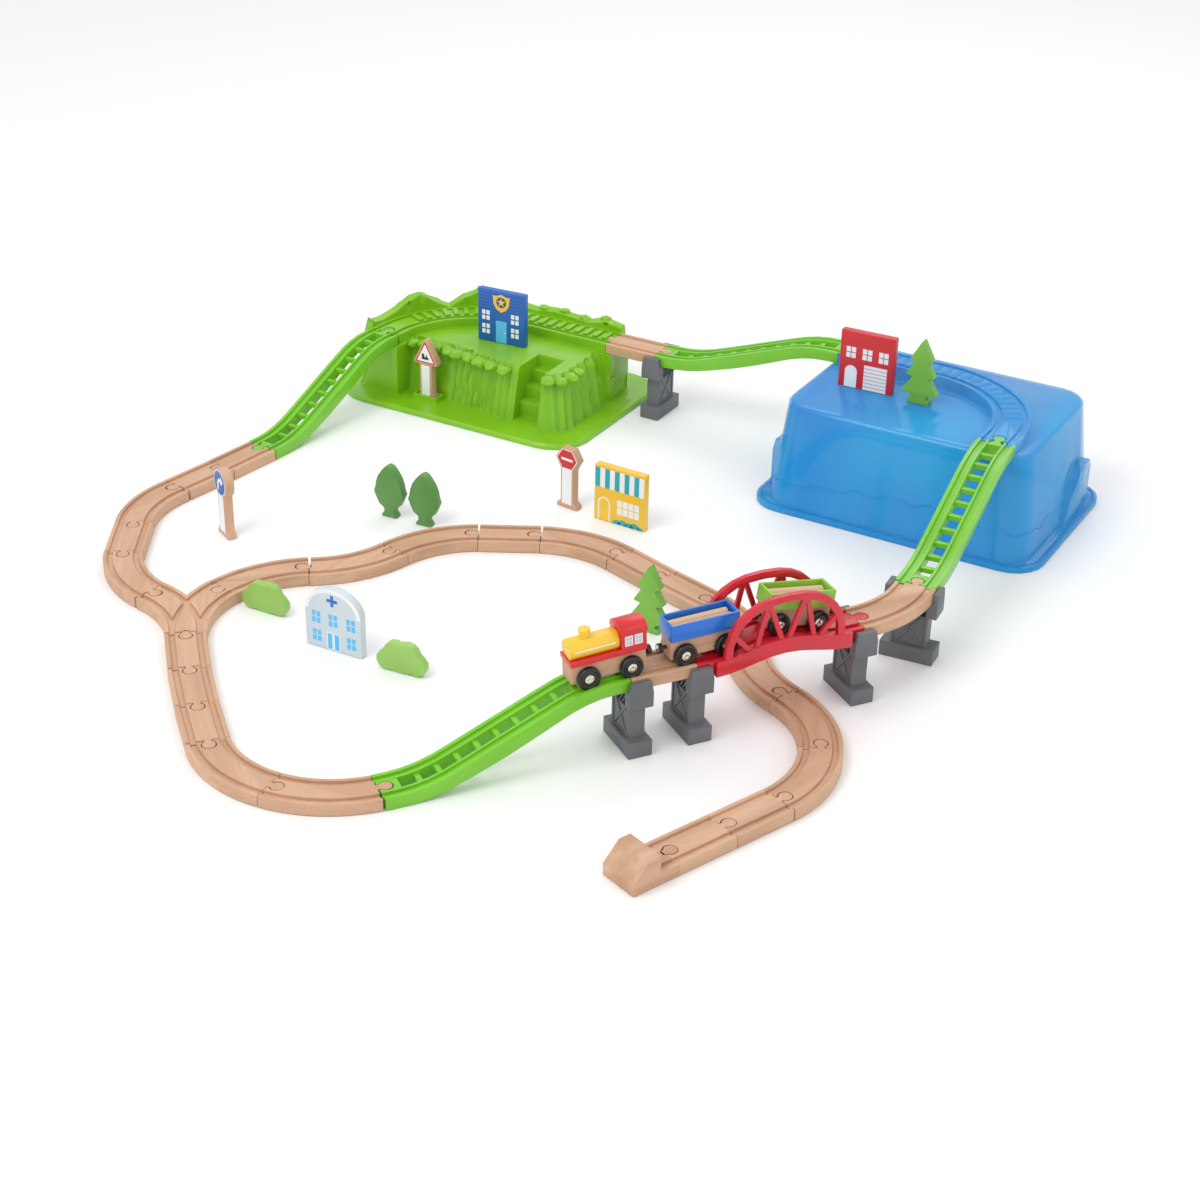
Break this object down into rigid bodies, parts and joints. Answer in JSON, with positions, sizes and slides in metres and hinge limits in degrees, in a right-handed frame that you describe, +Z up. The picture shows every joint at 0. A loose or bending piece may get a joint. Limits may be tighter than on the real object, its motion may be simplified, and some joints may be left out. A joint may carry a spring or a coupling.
{
  "type": "wooden train set",
  "caption": "Wooden toy train layout with floor track, ramps, a raised truss bridge, a hill and a tub that carry upper curves, a train with log wagons, and flat buildings, trees and signs.",
  "frame": {"origin": "on the floor under the middle of the layout's bounding box", "axes": "+Z up, -Y towards the front of the layout, +X to its right"},
  "size_m": [1.0528, 1.172, 0.1917],
  "materials": {
    "beech": "satin beech",
    "blue_paint": "painted wood",
    "blue_tub_plastic": "translucent moulding",
    "bush_paint": "painted wood",
    "fir_paint": "painted wood",
    "green_plastic": "satin moulding",
    "grey_plastic": "matte moulding",
    "hill_plastic": "satin moulding",
    "hospital_paint": "painted wood",
    "lime_paint": "painted wood",
    "red_paint": "painted wood",
    "red_plastic": "satin moulding",
    "shop_paint": "painted wood",
    "tree_paint": "painted wood",
    "wheel_plastic": "black wheels with bright hub caps",
    "yellow_paint": "painted wood"
  },
  "bodies": {
    "layout": {"approach_straights": "beech", "back_ramp": "green_plastic", "blue_wagon_chassis": "beech", "blue_wagon_tray": "blue_paint", "buffer_stop": "beech", "engine_boiler": "yellow_paint", "engine_cab": "red_paint", "engine_chassis": "beech", "front_bend": "beech", "front_ramp": "green_plastic", "green_wagon_chassis": "beech", "green_wagon_tray": "lime_paint", "hill": "hill_plastic", "hill_ramp": "green_plastic", "hill_straight": "beech", "left_bend_1": "beech", "left_bend_2": "beech", "left_straight": "beech", "left_straights": "beech", "pier_1": "grey_plastic", "pier_2": "grey_plastic", "pier_3": "grey_plastic", "pier_4": "grey_plastic", "pier_5": "grey_plastic", "raised_curve": "beech", "raised_straight": "beech", "siding_bend_1": "beech", "siding_bend_2": "beech", "siding_bend_3": "beech", "siding_bend_4": "beech", "siding_bend_5": "beech", "siding_end_straights": "beech", "siding_straight": "beech", "siding_straights": "beech", "switch_track": "beech", "truss_bridge": "red_plastic", "tub": "blue_tub_plastic", "tub_ramp": "green_plastic", "under_bridge_bends": "beech"},
    "engine_front_wheelset": {"engine_front_wheelset": "wheel_plastic"},
    "engine_rear_wheelset": {"engine_rear_wheelset": "wheel_plastic"},
    "blue_wagon_front_wheelset": {"blue_wagon_front_wheelset": "wheel_plastic"},
    "blue_wagon_rear_wheelset": {"blue_wagon_rear_wheelset": "wheel_plastic"},
    "blue_wagon_logs": {"blue_wagon_logs": "beech"},
    "green_wagon_front_wheelset": {"green_wagon_front_wheelset": "wheel_plastic"},
    "green_wagon_rear_wheelset": {"green_wagon_rear_wheelset": "wheel_plastic"},
    "green_wagon_logs": {"green_wagon_logs": "beech"},
    "hospital": {"hospital": "hospital_paint"},
    "shop": {"shop": "shop_paint"},
    "bush_1": {"bush_1": "bush_paint"},
    "bush_2": {"bush_2": "bush_paint"},
    "tree_1": {"tree_1": "tree_paint"},
    "tree_2": {"tree_2": "tree_paint"},
    "fir_tree_1": {"fir_tree_1": "fir_paint"},
    "stop_sign": {"stop_sign": "beech"},
    "turn_sign": {"turn_sign": "beech"},
    "fire_station": {"fire_station": "red_paint"},
    "fir_tree_2": {"fir_tree_2": "fir_paint"},
    "police_station": {"police_station": "blue_paint"},
    "warning_sign": {"warning_sign": "beech"}
  },
  "joints": [
    {"name": "engine_front_wheelset_spin", "type": "hinge", "parent": "layout", "child": "engine_front_wheelset", "pos_m": [-0.03013, -0.37522, 0.08405], "axis": [0.4152, -0.9097, 0], "continuous": true},
    {"name": "engine_rear_wheelset_spin", "type": "hinge", "parent": "layout", "child": "engine_rear_wheelset", "pos_m": [0.00674, -0.3584, 0.08647], "axis": [0.4152, -0.9097, 0], "continuous": true},
    {"name": "blue_wagon_front_wheelset_spin", "type": "hinge", "parent": "layout", "child": "blue_wagon_front_wheelset", "pos_m": [0.05385, -0.33604, 0.0865], "axis": [0.4289, -0.9033, 0], "continuous": true},
    {"name": "blue_wagon_rear_wheelset_spin", "type": "hinge", "parent": "layout", "child": "blue_wagon_rear_wheelset", "pos_m": [0.09051, -0.31863, 0.0877], "axis": [0.4289, -0.9033, 0], "continuous": true},
    {"name": "blue_wagon_logs_lift", "type": "slide", "parent": "layout", "child": "blue_wagon_logs", "axis": [0, 0, 1], "range_m": [0, 0.06]},
    {"name": "green_wagon_front_wheelset_spin", "type": "hinge", "parent": "layout", "child": "green_wagon_front_wheelset", "pos_m": [0.13812, -0.29602, 0.09635], "axis": [0.4289, -0.9033, 0], "continuous": true},
    {"name": "green_wagon_rear_wheelset_spin", "type": "hinge", "parent": "layout", "child": "green_wagon_rear_wheelset", "pos_m": [0.17443, -0.27878, 0.09063], "axis": [0.4289, -0.9033, 0], "continuous": true},
    {"name": "green_wagon_logs_lift", "type": "slide", "parent": "layout", "child": "green_wagon_logs", "axis": [0, 0, 1], "range_m": [0, 0.06]},
    {"name": "hospital_lift", "type": "slide", "parent": "layout", "child": "hospital", "axis": [0, 0, 1], "range_m": [0, 0.1]},
    {"name": "shop_lift", "type": "slide", "parent": "layout", "child": "shop", "axis": [0, 0, 1], "range_m": [0, 0.1]},
    {"name": "bush_1_lift", "type": "slide", "parent": "layout", "child": "bush_1", "axis": [0, 0, 1], "range_m": [0, 0.1]},
    {"name": "bush_2_lift", "type": "slide", "parent": "layout", "child": "bush_2", "axis": [0, 0, 1], "range_m": [0, 0.1]},
    {"name": "tree_1_lift", "type": "slide", "parent": "layout", "child": "tree_1", "axis": [0, 0, 1], "range_m": [0, 0.1]},
    {"name": "tree_2_lift", "type": "slide", "parent": "layout", "child": "tree_2", "axis": [0, 0, 1], "range_m": [0, 0.1]},
    {"name": "fir_tree_1_lift", "type": "slide", "parent": "layout", "child": "fir_tree_1", "axis": [0, 0, 1], "range_m": [0, 0.1]},
    {"name": "stop_sign_lift", "type": "slide", "parent": "layout", "child": "stop_sign", "axis": [0, 0, 1], "range_m": [0, 0.1]},
    {"name": "turn_sign_lift", "type": "slide", "parent": "layout", "child": "turn_sign", "axis": [0, 0, 1], "range_m": [0, 0.1]},
    {"name": "fire_station_lift", "type": "slide", "parent": "layout", "child": "fire_station", "axis": [0, 0, 1], "range_m": [0, 0.1]},
    {"name": "fir_tree_2_lift", "type": "slide", "parent": "layout", "child": "fir_tree_2", "axis": [0, 0, 1], "range_m": [0, 0.1]},
    {"name": "police_station_lift", "type": "slide", "parent": "layout", "child": "police_station", "axis": [0, 0, 1], "range_m": [0, 0.1]},
    {"name": "warning_sign_lift", "type": "slide", "parent": "layout", "child": "warning_sign", "axis": [0, 0, 1], "range_m": [0, 0.1]}
  ]
}
